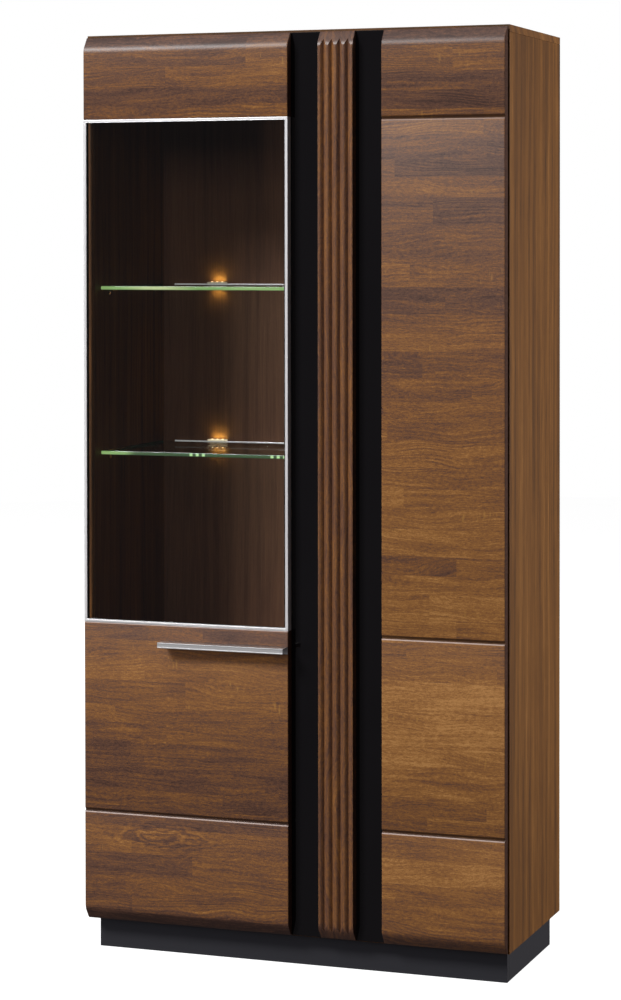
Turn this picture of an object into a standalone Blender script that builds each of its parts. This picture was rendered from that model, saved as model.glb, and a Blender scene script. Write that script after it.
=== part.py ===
"""China cabinet with a glass door, a wooden door and a fluted pilaster on a black centre panel.

Metres, +Z up. The front faces -Y, the origin is under the middle of the whole object, on the floor.
"""

import math

import bmesh
import bpy
from mathutils import Matrix, Vector

# ---------------------------------------------------------------- driving dimensions
WIDTH = 0.956
HEIGHT = 2.000
CARCASS_DEPTH = 0.406
SIDE_BOARD = 0.016
TOP_BOARD = 0.0155
FIT_GAP = 0.0003

PLINTH_HEIGHT = 0.068
PLINTH_SIDE_INSET = 0.013
PLINTH_FRONT_INSET = 0.029
PLINTH_BACK_INSET = 0.035

DOOR_THICKNESS = 0.022
DOOR_STANDOFF = 0.006
DOOR_REVEAL = 0.002
DOOR_BOTTOM = 0.070
DOOR_TOP = 1.995
LEFT_DOOR_FREE_EDGE = -0.002
RIGHT_DOOR_FREE_EDGE = 0.207
HANDLE_REACH = 0.033

# The ends of the fronts roll back: an arc, then a straight slope.
END_RADIUS = 0.030
END_ANGLE = math.radians(35)
END_SLOPE = 0.022
END_SEGMENTS = 7
GROOVE_HEIGHTS = (1.8100, 0.7208, 0.3122)
GROOVE_HALF_WIDTH = 0.004
GROOVE_DEPTH = 0.004

FRAME_TOP = 1.8160
FRAME_BOTTOM = 0.7230
FRAME_FACE = 0.007
FRAME_LEG = 0.003
FRAME_DEPTH = 0.020
FRAME_LIP = 0.003
FRAME_SETBACK = 0.0005
PANE_THICKNESS = 0.004

BLACK_PANEL_THICKNESS = 0.004
BLACK_PANEL_LAP = 0.017
COLUMN_LEFT = 0.065
COLUMN_WIDTH = 0.078
COLUMN_FRONT = 0.027
FLUTES = 4
FLUTE_PITCH = 0.018
FLUTE_DEPTH = 0.007
FLUTE_LAND = 0.0006
FLUTE_SEGMENTS = 10

BACK_PANEL_PLACE = 0.386
BACK_PANEL_THICKNESS = 0.004
BACK_GROOVE_DEPTH = 0.006
DIVIDER_LAP = 0.002

SHELF_SETBACK = 0.020
SHELF_SIDE_CLEARANCE = 0.001
FIXED_LEFT_SHELF_TOP = 0.640
LOOSE_LEFT_SHELF_TOP = 0.368
RIGHT_SHELF_TOPS = (0.420, 0.740, 1.060, 1.380, 1.700)
FIXED_RIGHT_SHELF = 3

GLASS_SHELF_THICKNESS = 0.008
GLASS_SHELF_CENTRES = {"lower": 1.0882, "upper": 1.4499}
GLASS_SHELF_FRONT = 0.030
GLASS_SHELF_BACK = 0.376
RAIL_INSET = 0.030
RAIL_DEPTH = 0.004
RAIL_OVERHANG = 0.001
LIGHT_CENTRE = -0.324
LIGHT_LENGTH = 0.043
LIGHT_WALL = 0.0035
LIGHT_JAW = 0.014

BRACKET_WIDTH = 0.011
BRACKET_REACH = 0.012
BRACKET_THICKNESS = 0.003
BRACKET_HEIGHT = 0.011
BRACKET_PLACES = {"front": 0.078, "rear": 0.330}

HINGE_EDGE = 0.006
OPENING_ANGLE = 105
CUP_CENTRE = 0.0225
CUP_POCKET_RADIUS = 0.0175
CUP_POCKET_DEPTH = 0.012
CUP_RADIUS = 0.0172
CUP_WALL = 0.0017
CUP_FLANGE_RADIUS = 0.020
CUP_FLANGE = 0.001
CUP_SEGMENTS = 32
LEFT_HINGE_HEIGHTS = (0.17, 0.56, 1.88)
RIGHT_HINGE_HEIGHTS = (0.17, 0.92, 1.88)
ARM_HALF_HEIGHT = 0.008

LATCH_HEIGHT = 1.20
LATCH_WIDTH = 0.013
LATCH_HALF_HEIGHT = 0.011
LATCH_LENGTH = 0.060
LATCH_SETBACK = 0.004
LATCH_BORE_RADIUS = 0.0045
LATCH_BORE_LENGTH = 0.048
PLUNGER_RADIUS = 0.004
PLUNGER_LENGTH = 0.0494
PLUNGER_TIP = 0.0044
STRIKE_RADIUS = 0.008
STRIKE_THICKNESS = 0.001

# ---------------------------------------------------------------- places that follow from them
HALF = WIDTH / 2
INNER_HALF = HALF - SIDE_BOARD
OVERALL_DEPTH = HANDLE_REACH + DOOR_THICKNESS + DOOR_STANDOFF + CARCASS_DEPTH
CARCASS_FRONT = CARCASS_DEPTH / -2 + (OVERALL_DEPTH - CARCASS_DEPTH) / 2
CARCASS_BACK = CARCASS_FRONT + CARCASS_DEPTH
DOOR_BACK = CARCASS_FRONT - DOOR_STANDOFF
DOOR_FACE = DOOR_BACK - DOOR_THICKNESS
BACK_PANEL_FRONT = CARCASS_FRONT + BACK_PANEL_PLACE
TOP_UNDERSIDE = HEIGHT - TOP_BOARD
FLOOR_BOARD_TOP = PLINTH_HEIGHT + SIDE_BOARD
LEFT_DOOR_HINGE_EDGE = -HALF + DOOR_REVEAL
RIGHT_DOOR_HINGE_EDGE = HALF - DOOR_REVEAL
BLACK_PANEL_LEFT = LEFT_DOOR_FREE_EDGE - BLACK_PANEL_LAP
BLACK_PANEL_RIGHT = RIGHT_DOOR_FREE_EDGE + BLACK_PANEL_LAP
LEFT_BAY_WALL = BLACK_PANEL_LEFT - DIVIDER_LAP
RIGHT_BAY_WALL = BLACK_PANEL_RIGHT + DIVIDER_LAP
HINGE_AXIS_Y = DOOR_BACK - DOOR_THICKNESS / 2


# ---------------------------------------------------------------- scene and materials
def clear_scene():
    for existing in list(bpy.data.objects):
        bpy.data.objects.remove(existing)


def material(name, color, roughness, metallic=0.0, alpha=1.0):
    made = bpy.data.materials.new(name)
    made.use_nodes = True
    shader = made.node_tree.nodes["Principled BSDF"]
    shader.inputs["Base Color"].default_value = (*color, 1.0)
    shader.inputs["Roughness"].default_value = roughness
    shader.inputs["Metallic"].default_value = metallic
    shader.inputs["Alpha"].default_value = alpha
    return made


def make_materials():
    return {
        "front wood": material("stained_oak_front", (0.17, 0.075, 0.032), 0.35),
        "panel wood": material("stained_oak_panel", (0.22, 0.10, 0.042), 0.45),
        "black gloss": material("black_gloss", (0.010, 0.010, 0.012), 0.08),
        "black plinth": material("black_plinth", (0.015, 0.015, 0.017), 0.45),
        "aluminium": material("satin_aluminium", (0.75, 0.75, 0.76), 0.3, metallic=1.0),
        "clear glass": material("clear_glass", (0.80, 0.86, 0.84), 0.02, alpha=0.25),
        "shelf glass": material("shelf_glass", (0.55, 0.85, 0.62), 0.02, alpha=0.35),
        "hinge steel": material("nickelled_steel", (0.62, 0.60, 0.57), 0.25, metallic=1.0),
        "grey plastic": material("grey_plastic", (0.30, 0.30, 0.31), 0.5),
        "white plastic": material("white_plastic", (0.80, 0.80, 0.78), 0.5),
    }


# ---------------------------------------------------------------- shape helpers
def finish(name, bm, finish_material, origin, parent=None):
    """Turns a bmesh in world places into an object whose origin is the given point."""
    bmesh.ops.recalc_face_normals(bm, faces=bm.faces)
    mesh = bpy.data.meshes.new(name)
    bm.to_mesh(mesh)
    bm.free()
    origin = Vector(origin)
    mesh.transform(Matrix.Translation(-origin))
    if finish_material is not None:
        mesh.materials.append(finish_material)
    made = bpy.data.objects.new(name, mesh)
    made.location = origin
    if parent is not None:
        made.parent = parent
        made.location = origin - parent.location
    bpy.context.scene.collection.objects.link(made)
    return made


def smooth(piece, angle=30):
    piece.data.shade_smooth()
    piece.data.set_sharp_from_angle(angle=math.radians(angle))
    return piece


def board(name, low, high, finish_material, ease=0.0008, parent=None, origin=None):
    """A rectangular board with slightly eased edges."""
    bm = bmesh.new()
    bmesh.ops.create_cube(bm, size=1.0)
    low, high = Vector(low), Vector(high)
    centre = (low + high) / 2
    bmesh.ops.scale(bm, vec=high - low, verts=bm.verts)
    bmesh.ops.translate(bm, vec=centre, verts=bm.verts)
    if ease:
        bmesh.ops.bevel(
            bm, geom=bm.edges[:], offset=ease, affect="EDGES", segments=1, profile=0.5, material=-1
        )
    return finish(name, bm, finish_material, origin or centre, parent)


def prism(name, outline, axis, start, end, finish_material, parent=None, origin=None):
    """Extrudes a flat outline along X, Y or Z. The outline holds the two other coordinates, in order."""
    bm = bmesh.new()
    order = {"X": (2, 0, 1), "Y": (0, 2, 1), "Z": (0, 1, 2)}[axis]

    def corner(first, second):
        values = (first, second, start)
        return Vector(values[index] for index in order)

    face = bm.faces.new([bm.verts.new(corner(*point)) for point in outline])
    pushed = bmesh.ops.extrude_face_region(bm, geom=[face])
    moved = [item for item in pushed["geom"] if isinstance(item, bmesh.types.BMVert)]
    direction = Vector({"X": (1, 0, 0), "Y": (0, 1, 0), "Z": (0, 0, 1)}[axis])
    bmesh.ops.translate(bm, vec=direction * (end - start), verts=moved)
    middle = sum((vert.co for vert in bm.verts), Vector()) / len(bm.verts)
    return finish(name, bm, finish_material, origin or middle, parent)


def turned(name, outline, centre, segments, finish_material, parent=None, origin=None):
    """Turns (radius, y) points about an axis along Y through the centre's X and Z."""
    bm = bmesh.new()
    axis_point = Vector((centre[0], 0, centre[1]))
    profile = [bm.verts.new(axis_point + Vector((radius, y, 0))) for radius, y in outline]
    edges = [bm.edges.new(pair) for pair in zip(profile, profile[1:])]
    bmesh.ops.spin(
        bm,
        geom=profile + edges,
        cent=axis_point,
        axis=(0, 1, 0),
        angle=math.tau,
        steps=segments,
        use_merge=True,
        use_duplicate=False,
    )
    bmesh.ops.remove_doubles(bm, verts=bm.verts, dist=0.00001)
    middle = axis_point + Vector((0, outline[0][1], 0))
    return smooth(finish(name, bm, finish_material, origin or middle, parent))


def cut(piece, cutter, operation="DIFFERENCE"):
    cutter.hide_render = True
    cutter.display_type = "WIRE"
    modifier = piece.modifiers.new(cutter.name, "BOOLEAN")
    modifier.operation = operation
    modifier.object = cutter


def axis_empty(name, place):
    made = bpy.data.objects.new(name, None)
    made.empty_display_size = 0.1
    made.location = place
    bpy.context.scene.collection.objects.link(made)
    return made


# ---------------------------------------------------------------- outlines
def rolled_end(top, face, direction):
    """(y, z) points from the front face to the end of a front, rolled back at its top or its bottom."""
    points = []
    height = END_RADIUS * math.sin(END_ANGLE) + END_SLOPE * math.cos(END_ANGLE)
    start = top - direction * height
    for step in range(END_SEGMENTS + 1):
        angle = END_ANGLE * step / END_SEGMENTS
        depth = END_RADIUS * (1 - math.cos(angle))
        points.append((face + depth, start + direction * END_RADIUS * math.sin(angle)))
    depth = END_RADIUS * (1 - math.cos(END_ANGLE)) + END_SLOPE * math.sin(END_ANGLE)
    points.append((face + depth, top))
    return points


def front_outline(low, high, face, back, rolled_low, rolled_high, grooves=()):
    """(y, z) outline of a front, from its low end up the face and back down behind."""
    half_chamfer = GROOVE_HALF_WIDTH / 2
    if rolled_low:
        points = rolled_end(low, face, -1)[::-1]
    else:
        points = [(face + half_chamfer, low), (face, low + half_chamfer)]
    for height in sorted(grooves):
        points.append((face, height - GROOVE_HALF_WIDTH))
        points.append((face + GROOVE_DEPTH, height))
        points.append((face, height + GROOVE_HALF_WIDTH))
    if rolled_high:
        points += rolled_end(high, face, 1)
    else:
        points += [(face, high - half_chamfer), (face + half_chamfer, high)]
    return points + [(back, high), (back, low)]


def flute_points(centre, face):
    """(x, y) points of one scooped flute, an arc of a circle that is FLUTE_DEPTH deep."""
    half = FLUTE_PITCH / 2 - FLUTE_LAND / 2
    radius = (half**2 + FLUTE_DEPTH**2) / (2 * FLUTE_DEPTH)
    spread = math.asin(min(1.0, half / radius))
    if FLUTE_DEPTH > radius:
        spread = math.pi - spread
    points = []
    for step in range(FLUTE_SEGMENTS + 1):
        angle = -spread + 2 * spread * step / FLUTE_SEGMENTS
        x = centre + radius * math.sin(angle)
        y = face + FLUTE_DEPTH - radius + radius * math.cos(angle)
        points.append((x, y))
    return points


# ---------------------------------------------------------------- carcass
def make_carcass(finishes):
    wood = finishes["panel wood"]
    groove_front = BACK_PANEL_FRONT - FIT_GAP
    groove_back = BACK_PANEL_FRONT + BACK_PANEL_THICKNESS + FIT_GAP
    for name, side in (("side_panel_left", -1), ("side_panel_right", 1)):
        inner, outer = side * INNER_HALF, side * HALF
        deep = side * (INNER_HALF + BACK_GROOVE_DEPTH)
        outline = [
            (inner, CARCASS_FRONT),
            (outer, CARCASS_FRONT),
            (outer, CARCASS_BACK),
            (inner, CARCASS_BACK),
            (inner, groove_back),
            (deep, groove_back),
            (deep, groove_front),
            (inner, groove_front),
        ]
        prism(name, outline, "Z", PLINTH_HEIGHT, TOP_UNDERSIDE - FIT_GAP, wood)
    board(
        "top_board",
        (-HALF, CARCASS_FRONT, TOP_UNDERSIDE),
        (HALF, CARCASS_BACK, HEIGHT),
        wood,
    )
    inside = INNER_HALF - FIT_GAP
    inner_back = BACK_PANEL_FRONT - FIT_GAP
    board(
        "bottom_board",
        (-inside, CARCASS_FRONT, PLINTH_HEIGHT),
        (inside, inner_back, FLOOR_BOARD_TOP),
        wood,
    )
    panel_reach = INNER_HALF + BACK_GROOVE_DEPTH - FIT_GAP
    board(
        "back_panel",
        (-panel_reach, BACK_PANEL_FRONT, PLINTH_HEIGHT),
        (panel_reach, BACK_PANEL_FRONT + BACK_PANEL_THICKNESS, TOP_UNDERSIDE - FIT_GAP),
        wood,
        ease=0,
    )
    for name, left in (
        ("divider_left", LEFT_BAY_WALL),
        ("divider_right", RIGHT_BAY_WALL - SIDE_BOARD),
    ):
        board(
            name,
            (left, CARCASS_FRONT, FLOOR_BOARD_TOP + FIT_GAP),
            (left + SIDE_BOARD, inner_back, TOP_UNDERSIDE - FIT_GAP),
            wood,
        )


def make_wooden_shelves(finishes):
    wood = finishes["panel wood"]
    inner_back = BACK_PANEL_FRONT - FIT_GAP

    def shelf(name, left, right, top, fixed):
        clearance = FIT_GAP if fixed else SHELF_SIDE_CLEARANCE
        front = CARCASS_FRONT + (SHELF_SETBACK / 4 if fixed else SHELF_SETBACK)
        back = inner_back if fixed else inner_back - SHELF_SETBACK / 4
        board(
            name,
            (left + clearance, front, top - SIDE_BOARD),
            (right - clearance, back, top),
            wood,
        )

    shelf("fixed_shelf_left", -INNER_HALF, LEFT_BAY_WALL, FIXED_LEFT_SHELF_TOP, True)
    shelf("loose_shelf_left", -INNER_HALF, LEFT_BAY_WALL, LOOSE_LEFT_SHELF_TOP, False)
    for number, top in enumerate(RIGHT_SHELF_TOPS, 1):
        fixed = number == FIXED_RIGHT_SHELF
        name = f"{'fixed' if fixed else 'loose'}_shelf_right_{number}"
        shelf(name, RIGHT_BAY_WALL, INNER_HALF, top, fixed)


def make_plinth(finishes):
    black = finishes["black plinth"]
    outer = HALF - PLINTH_SIDE_INSET
    front = CARCASS_FRONT + PLINTH_FRONT_INSET
    back = CARCASS_BACK - PLINTH_BACK_INSET
    top = PLINTH_HEIGHT - FIT_GAP
    board("plinth_front", (-outer, front, 0), (outer, front + SIDE_BOARD, top), black)
    board("plinth_back", (-outer, back - SIDE_BOARD, 0), (outer, back, top), black)
    for name, side in (("plinth_left", -1), ("plinth_right", 1)):
        near, far = sorted((side * outer, side * (outer - SIDE_BOARD)))
        board(
            name,
            (near, front + SIDE_BOARD + FIT_GAP, 0),
            (far, back - SIDE_BOARD - FIT_GAP, top),
            black,
        )


# ---------------------------------------------------------------- centre panel and column
def make_centre(finishes):
    panel_front = CARCASS_FRONT - BLACK_PANEL_THICKNESS - FIT_GAP
    board(
        "black_centre_panel",
        (BLACK_PANEL_LEFT, panel_front, DOOR_BOTTOM),
        (BLACK_PANEL_RIGHT, CARCASS_FRONT - FIT_GAP, DOOR_TOP),
        finishes["black gloss"],
        ease=0.0005,
    )
    face = CARCASS_FRONT - COLUMN_FRONT
    back = panel_front - FIT_GAP
    right = COLUMN_LEFT + COLUMN_WIDTH
    middle = COLUMN_LEFT + COLUMN_WIDTH / 2
    outline = [(COLUMN_LEFT, back), (COLUMN_LEFT, face)]
    for number in range(FLUTES):
        centre = middle + (number - (FLUTES - 1) / 2) * FLUTE_PITCH
        outline += flute_points(centre, face)
    outline += [(right, face), (right, back)]
    column = prism("fluted_column", outline, "Z", DOOR_BOTTOM, DOOR_TOP, finishes["front wood"])
    margin = 0.01
    ends = front_outline(DOOR_BOTTOM, DOOR_TOP, face, back + margin, True, True)
    roller = prism("column_end_shape", ends, "X", COLUMN_LEFT - margin, right + margin, None)
    cut(column, roller, "INTERSECT")


# ---------------------------------------------------------------- glass shelves and their light
def make_glass_shelves(finishes):
    left = -INNER_HALF + SHELF_SIDE_CLEARANCE
    right = LEFT_BAY_WALL - SHELF_SIDE_CLEARANCE
    for level, centre in GLASS_SHELF_CENTRES.items():
        bottom = centre - GLASS_SHELF_THICKNESS / 2
        top = centre + GLASS_SHELF_THICKNESS / 2
        back = CARCASS_FRONT + GLASS_SHELF_BACK
        board(
            f"glass_shelf_{level}",
            (left, CARCASS_FRONT + GLASS_SHELF_FRONT, bottom),
            (right, back, top),
            finishes["shelf glass"],
            ease=0.0006,
        )
        rail_back = back + FIT_GAP + RAIL_DEPTH
        board(
            f"shelf_back_rail_{level}",
            (left + RAIL_INSET, back + FIT_GAP, bottom - RAIL_OVERHANG),
            (right - RAIL_INSET, rail_back, top + RAIL_OVERHANG),
            finishes["aluminium"],
            ease=0.0004,
        )
        make_shelf_light(level, bottom, top, rail_back, finishes)
        make_shelf_brackets(level, bottom, finishes)


def make_shelf_light(level, bottom, top, rail_back, finishes):
    """A clip that grips the rear edge of the shelf and its rail, open towards the front."""
    inner_low = bottom - RAIL_OVERHANG - FIT_GAP
    inner_high = top + RAIL_OVERHANG + FIT_GAP
    web = rail_back + FIT_GAP
    front = web - LIGHT_JAW
    outline = [
        (front, inner_low - LIGHT_WALL),
        (web + LIGHT_WALL / 2, inner_low - LIGHT_WALL),
        (web + LIGHT_WALL / 2, inner_high + LIGHT_WALL),
        (front, inner_high + LIGHT_WALL),
        (front, inner_high),
        (web, inner_high),
        (web, inner_low),
        (front, inner_low),
    ]
    prism(
        f"light_clip_{level}",
        outline,
        "X",
        LIGHT_CENTRE - LIGHT_LENGTH / 2,
        LIGHT_CENTRE + LIGHT_LENGTH / 2,
        finishes["white plastic"],
    )


def make_shelf_brackets(level, bottom, finishes):
    """Small angle brackets on both walls under the glass."""
    tongue_top = bottom - FIT_GAP
    for wall_name, wall, side in (
        ("left", -INNER_HALF + FIT_GAP, 1),
        ("right", LEFT_BAY_WALL - FIT_GAP, -1),
    ):
        for place, distance in BRACKET_PLACES.items():
            low = tongue_top - BRACKET_HEIGHT
            outline = [
                (wall, low),
                (wall + side * BRACKET_THICKNESS / 2, low),
                (wall + side * BRACKET_THICKNESS / 2, tongue_top - BRACKET_THICKNESS),
                (wall + side * BRACKET_REACH, tongue_top - BRACKET_THICKNESS),
                (wall + side * BRACKET_REACH, tongue_top),
                (wall, tongue_top),
            ]
            start = CARCASS_FRONT + distance - BRACKET_WIDTH / 2
            prism(
                f"bracket_{level}_{wall_name}_{place}",
                outline,
                "Y",
                start,
                start + BRACKET_WIDTH,
                finishes["hinge steel"],
            )


def make_light_driver(finishes):
    """The power supply of the shelf lights, hidden between the dividers."""
    width, depth, height = 0.050, 0.022, 0.140
    middle = (LEFT_BAY_WALL + RIGHT_BAY_WALL) / 2
    low_z = FLOOR_BOARD_TOP + 0.05
    back = BACK_PANEL_FRONT - FIT_GAP
    board(
        "light_driver",
        (middle - width / 2, back - depth, low_z),
        (middle + width / 2, back, low_z + height),
        finishes["white plastic"],
        ease=0.002,
    )


# ---------------------------------------------------------------- doors
def hinge_pockets(door, heights, side, cutters):
    """Cuts the round pockets for the hinge cups in the door's back."""
    x = side * (HALF - DOOR_REVEAL - CUP_CENTRE)
    for height in heights:
        bottom = DOOR_BACK - CUP_POCKET_DEPTH
        outline = [
            (0, bottom),
            (CUP_POCKET_RADIUS, bottom),
            (CUP_POCKET_RADIUS, DOOR_BACK + 0.002),
            (0, DOOR_BACK + 0.002),
        ]
        name = f"pocket_{'left' if side < 0 else 'right'}_{cutters}_{round(height * 1000)}"
        cut(door, turned(name, outline, (x, height), CUP_SEGMENTS, None))


def make_hinges(side_name, side, heights, parent, finishes):
    """Concealed hinges: a cup in the door and an arm on the side panel that reaches into it."""
    steel = finishes["hinge steel"]
    edge = side * (HALF - DOOR_REVEAL)
    cup_x = edge - side * CUP_CENTRE
    bottom = DOOR_BACK - CUP_POCKET_DEPTH + FIT_GAP
    rim = DOOR_BACK + FIT_GAP
    cavity = CUP_RADIUS - CUP_WALL
    cup_outline = [
        (0, bottom),
        (CUP_RADIUS, bottom),
        (CUP_RADIUS, rim),
        (CUP_FLANGE_RADIUS, rim),
        (CUP_FLANGE_RADIUS, rim + CUP_FLANGE),
        (cavity, rim + CUP_FLANGE),
        (cavity, bottom + CUP_WALL),
        (0, bottom + CUP_WALL),
    ]
    axis_x = edge - side * HINGE_EDGE
    wall = side * (INNER_HALF - FIT_GAP)
    tip_near, tip_far = axis_x - side * 0.0132, axis_x - side * 0.0180
    arm_far = wall - side * 0.013
    base = wall - side * 0.003
    arm_outline = [
        (wall, CARCASS_FRONT + 0.028),
        (wall, CARCASS_FRONT + 0.078),
        (base, CARCASS_FRONT + 0.078),
        (arm_far, CARCASS_FRONT + 0.070),
        (arm_far, CARCASS_FRONT - 0.0005),
        (tip_far, CARCASS_FRONT - 0.003),
        (tip_far, DOOR_BACK - 0.008),
        (tip_near, DOOR_BACK - 0.008),
        (tip_near, CARCASS_FRONT - 0.002),
        (base, CARCASS_FRONT + 0.002),
        (base, CARCASS_FRONT + 0.028),
    ]
    for number, height in enumerate(heights, 1):
        turned(
            f"hinge_cup_{side_name}_{number}",
            cup_outline,
            (cup_x, height),
            CUP_SEGMENTS,
            steel,
            parent,
            parent.location,
        )
        prism(
            f"hinge_arm_{side_name}_{number}",
            arm_outline,
            "Z",
            height - ARM_HALF_HEIGHT,
            height + ARM_HALF_HEIGHT,
            steel,
        )


def make_frame_member(name, middle, along, inward, half_length, parent, finishes):
    """One mitred member of the aluminium frame: a face lip in front and a leg at the outer side."""
    front = DOOR_FACE + FRAME_SETBACK
    section = [
        (0, front),
        (FRAME_FACE, front),
        (FRAME_FACE, front + FRAME_LIP),
        (FRAME_LEG, front + FRAME_LIP),
        (FRAME_LEG, front + FRAME_DEPTH),
        (0, front + FRAME_DEPTH),
    ]
    middle, along, inward = Vector(middle), Vector(along), Vector(inward)
    bm = bmesh.new()
    rings = []
    for direction in (-1, 1):
        ring = []
        for distance, y in section:
            reach = half_length - distance - FIT_GAP / 2
            place = middle + inward * distance + along * direction * reach
            ring.append(bm.verts.new((place.x, y, place.z)))
        rings.append(ring)
        bm.faces.new(ring)
    for index in range(len(section)):
        after = (index + 1) % len(section)
        bm.faces.new((rings[0][index], rings[0][after], rings[1][after], rings[1][index]))
    finish(name, bm, finishes["aluminium"], parent.location, parent)


def make_left_door(finishes):
    left, right = LEFT_DOOR_HINGE_EDGE, LEFT_DOOR_FREE_EDGE
    pivot = axis_empty("left_door_axis", (left + HINGE_EDGE, HINGE_AXIS_Y, 0))
    wood = finishes["front wood"]
    top_outline = front_outline(
        FRAME_TOP + FIT_GAP, DOOR_TOP, DOOR_FACE, DOOR_BACK, False, True
    )
    top = prism("left_door_top_panel", top_outline, "X", left, right, wood, pivot, pivot.location)
    bottom_outline = front_outline(
        DOOR_BOTTOM,
        FRAME_BOTTOM - FIT_GAP,
        DOOR_FACE,
        DOOR_BACK,
        True,
        False,
        GROOVE_HEIGHTS[2:],
    )
    bottom = prism(
        "left_door_bottom_panel", bottom_outline, "X", left, right, wood, pivot, pivot.location
    )
    hinge_pockets(bottom, LEFT_HINGE_HEIGHTS[:2], -1, "low")
    hinge_pockets(top, LEFT_HINGE_HEIGHTS[2:], -1, "high")
    middle_x, middle_z = (left + right) / 2, (FRAME_TOP + FRAME_BOTTOM) / 2
    half_width, half_height = (right - left) / 2, (FRAME_TOP - FRAME_BOTTOM) / 2
    for name, middle, along, inward, reach in (
        ("frame_stile_left", (left, 0, middle_z), (0, 0, 1), (1, 0, 0), half_height),
        ("frame_stile_right", (right, 0, middle_z), (0, 0, 1), (-1, 0, 0), half_height),
        ("frame_rail_top", (middle_x, 0, FRAME_TOP), (1, 0, 0), (0, 0, -1), half_width),
        ("frame_rail_bottom", (middle_x, 0, FRAME_BOTTOM), (1, 0, 0), (0, 0, 1), half_width),
    ):
        make_frame_member(name, middle, along, inward, reach, pivot, finishes)
    inset = FRAME_LEG + FIT_GAP
    pane_front = DOOR_FACE + FRAME_SETBACK + FRAME_LIP + FIT_GAP
    board(
        "glass_pane",
        (left + inset, pane_front, FRAME_BOTTOM + inset),
        (right - inset, pane_front + PANE_THICKNESS, FRAME_TOP - inset),
        finishes["clear glass"],
        ease=0,
        parent=pivot,
        origin=pivot.location,
    )
    make_handle(pivot, finishes)
    make_hinges("left", -1, LEFT_HINGE_HEIGHTS, pivot, finishes)


def make_handle(pivot, finishes):
    """An aluminium channel, open downwards, that the fingers hook behind."""
    left, right = -0.290, LEFT_DOOR_FREE_EDGE - 0.0005
    top, lip_bottom, rear_bottom = 0.6895, 0.6780, 0.6740
    wall, ease = 0.002, 0.0008
    front = DOOR_FACE - HANDLE_REACH
    back = DOOR_FACE - FIT_GAP
    outline = [
        (front, lip_bottom + ease),
        (front, top - ease),
        (front + ease, top),
        (back, top),
        (back, rear_bottom),
        (back - wall, rear_bottom),
        (back - wall, top - wall),
        (front + wall, top - wall),
        (front + wall, lip_bottom),
        (front + ease, lip_bottom),
    ]
    prism(
        "door_handle", outline, "X", left, right, finishes["aluminium"], pivot, pivot.location
    )


def make_right_door(finishes):
    left, right = RIGHT_DOOR_FREE_EDGE, RIGHT_DOOR_HINGE_EDGE
    pivot = axis_empty("right_door_axis", (right - HINGE_EDGE, HINGE_AXIS_Y, 0))
    outline = front_outline(
        DOOR_BOTTOM, DOOR_TOP, DOOR_FACE, DOOR_BACK, True, True, GROOVE_HEIGHTS
    )
    door = prism(
        "right_door_panel", outline, "X", left, right, finishes["front wood"], pivot, pivot.location
    )
    hinge_pockets(door, RIGHT_HINGE_HEIGHTS, 1, "all")
    make_hinges("right", 1, RIGHT_HINGE_HEIGHTS, pivot, finishes)
    make_push_latch(pivot, finishes)


def make_push_latch(pivot, finishes):
    """The push-to-open latch of the door without a handle."""
    wall = RIGHT_BAY_WALL + FIT_GAP
    x = wall + LATCH_WIDTH / 2
    front = CARCASS_FRONT + LATCH_SETBACK
    housing = board(
        "latch_housing",
        (wall, front, LATCH_HEIGHT - LATCH_HALF_HEIGHT),
        (wall + LATCH_WIDTH, front + LATCH_LENGTH, LATCH_HEIGHT + LATCH_HALF_HEIGHT),
        finishes["grey plastic"],
    )
    bore = [
        (0, front - 0.002),
        (LATCH_BORE_RADIUS, front - 0.002),
        (LATCH_BORE_RADIUS, front + LATCH_BORE_LENGTH),
        (0, front + LATCH_BORE_LENGTH),
    ]
    cut(housing, turned("latch_bore", bore, (x, LATCH_HEIGHT), CUP_SEGMENTS, None))
    tip = CARCASS_FRONT - PLUNGER_TIP
    plunger = [
        (0, tip),
        (PLUNGER_RADIUS - 0.001, tip),
        (PLUNGER_RADIUS, tip + 0.001),
        (PLUNGER_RADIUS, tip + PLUNGER_LENGTH),
        (0, tip + PLUNGER_LENGTH),
    ]
    turned("latch_plunger", plunger, (x, LATCH_HEIGHT), CUP_SEGMENTS, finishes["white plastic"])
    strike_front = DOOR_BACK + FIT_GAP
    strike = [
        (0, strike_front),
        (STRIKE_RADIUS, strike_front),
        (STRIKE_RADIUS, strike_front + STRIKE_THICKNESS),
        (0, strike_front + STRIKE_THICKNESS),
    ]
    turned(
        "latch_strike_plate",
        strike,
        (x, LATCH_HEIGHT),
        CUP_SEGMENTS,
        finishes["hinge steel"],
        pivot,
        pivot.location,
    )


def main():
    clear_scene()
    finishes = make_materials()
    make_carcass(finishes)
    make_wooden_shelves(finishes)
    make_plinth(finishes)
    make_centre(finishes)
    make_glass_shelves(finishes)
    make_light_driver(finishes)
    make_left_door(finishes)
    make_right_door(finishes)


main()
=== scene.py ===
import math

import bmesh
import bpy
from mathutils import Matrix, Vector


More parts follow.
